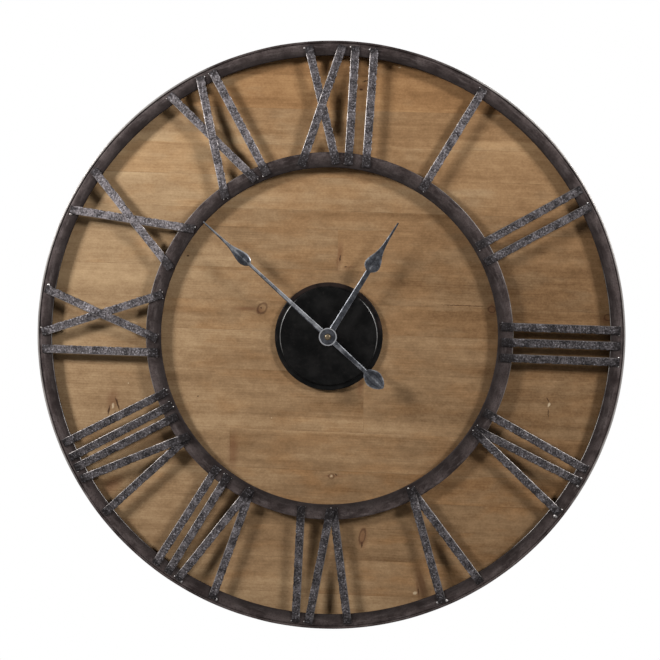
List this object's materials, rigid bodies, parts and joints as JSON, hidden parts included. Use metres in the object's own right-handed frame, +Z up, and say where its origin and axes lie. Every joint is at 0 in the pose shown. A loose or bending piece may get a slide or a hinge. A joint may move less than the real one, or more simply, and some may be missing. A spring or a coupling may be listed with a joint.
{
  "type": "wall clock",
  "caption": "Round wall clock: pine panel in an iron hoop, hammered strip Roman numerals on two flat rings, black centre cap, spade hands, quartz movement behind.",
  "frame": {"origin": "centre of the hanger keyhole, on the wall plane", "axes": "+Y into the wall, +Z up, the dial faces -Y"},
  "size_m": [0.7619, 0.051, 0.762],
  "materials": {
    "pine": "stained and lacquered",
    "iron": "dark gunmetal patina",
    "hammered_iron": "hammered, worn edges",
    "zinc_steel": "zinc plated",
    "felt": "pressed felt",
    "black_enamel": "satin",
    "case_plastic": "moulded",
    "brass": "turned",
    "rubber": "matt",
    "wheel_plastic": "moulded",
    "steel": "turned",
    "magnet": "sintered",
    "copper": "enamelled wire",
    "circuit": "solder resist",
    "chip": "epoxy",
    "nickel": "plated",
    "battery_sleeve": "printed sleeve",
    "hand_metal": "pewter grey"
  },
  "bodies": {
    "frame": {"backboard": "pine", "lower_hanger_stave": "pine", "upper_hanger_stave": "pine", "outer_hoop": "iron", "outer_ring": "iron", "inner_ring": "iron", "hoop_tabs": "iron", "tab_screws": "zinc_steel", "hanger_plate": "zinc_steel", "hanger_screws": "zinc_steel", "wall_bumpers": "felt", "centre_cap": "black_enamel", "cap_studs": "zinc_steel", "cap_washers": "zinc_steel", "cap_nuts": "zinc_steel", "movement_case": "case_plastic", "movement_cover": "case_plastic", "threaded_bush": "brass", "rubber_washer": "rubber", "brass_washer": "brass", "bush_nut": "brass", "stator": "steel", "coil_bobbin": "wheel_plastic", "coil_winding": "copper", "circuit_board": "circuit", "clock_chip": "chip", "quartz_crystal": "nickel", "battery": "battery_sleeve", "contact_plus": "nickel", "contact_minus": "nickel", "numeral_I": "hammered_iron", "numeral_II": "hammered_iron", "numeral_III": "hammered_iron", "numeral_IV": "hammered_iron", "numeral_V": "hammered_iron", "numeral_VI": "hammered_iron", "numeral_VII": "hammered_iron", "numeral_VIII": "hammered_iron", "numeral_IX": "hammered_iron", "numeral_X": "hammered_iron", "numeral_XI": "hammered_iron", "numeral_XII": "hammered_iron"},
    "minute_train": {"minute_arbor": "steel", "centre_wheel": "wheel_plastic", "minute_hand": "hand_metal", "hand_nut": "brass"},
    "hour_train": {"hour_wheel": "wheel_plastic", "hour_hand": "hand_metal"},
    "motion_train": {"motion_wheel": "wheel_plastic", "setting_knob": "case_plastic"},
    "third_train": {"third_wheel": "wheel_plastic"},
    "first_train": {"first_wheel": "wheel_plastic"},
    "rotor": {"rotor_pinion": "wheel_plastic", "rotor_magnet": "magnet"}
  },
  "joints": [
    {"name": "minute_turn", "type": "hinge", "parent": "frame", "child": "minute_train", "pos_m": [0, -0.016, -0.3], "axis": [0, 1, 0], "continuous": true},
    {"name": "hour_turn", "type": "hinge", "parent": "frame", "child": "hour_train", "pos_m": [0, -0.016, -0.3], "axis": [0, 1, 0], "continuous": true},
    {"name": "setting_turn", "type": "hinge", "parent": "frame", "child": "motion_train", "pos_m": [0.00866, -0.016, -0.295], "axis": [0, 1, 0], "continuous": true},
    {"name": "third_turn", "type": "hinge", "parent": "frame", "child": "third_train", "pos_m": [-0.00818, -0.016, -0.29528], "axis": [0, 1, 0], "continuous": true},
    {"name": "first_turn", "type": "hinge", "parent": "frame", "child": "first_train", "pos_m": [-0.00678, -0.016, -0.2873], "axis": [0, 1, 0], "continuous": true},
    {"name": "rotor_turn", "type": "hinge", "parent": "frame", "child": "rotor", "pos_m": [-0.01063, -0.016, -0.28063], "axis": [0, 1, 0], "continuous": true}
  ],
  "couplings": [
    {"joint": "hour_turn", "follows": "minute_turn", "ratio": 0.083333},
    {"joint": "setting_turn", "follows": "minute_turn", "ratio": -0.33333},
    {"joint": "third_turn", "follows": "minute_turn", "ratio": -6},
    {"joint": "first_turn", "follows": "minute_turn", "ratio": 30},
    {"joint": "rotor_turn", "follows": "minute_turn", "ratio": -180}
  ]
}
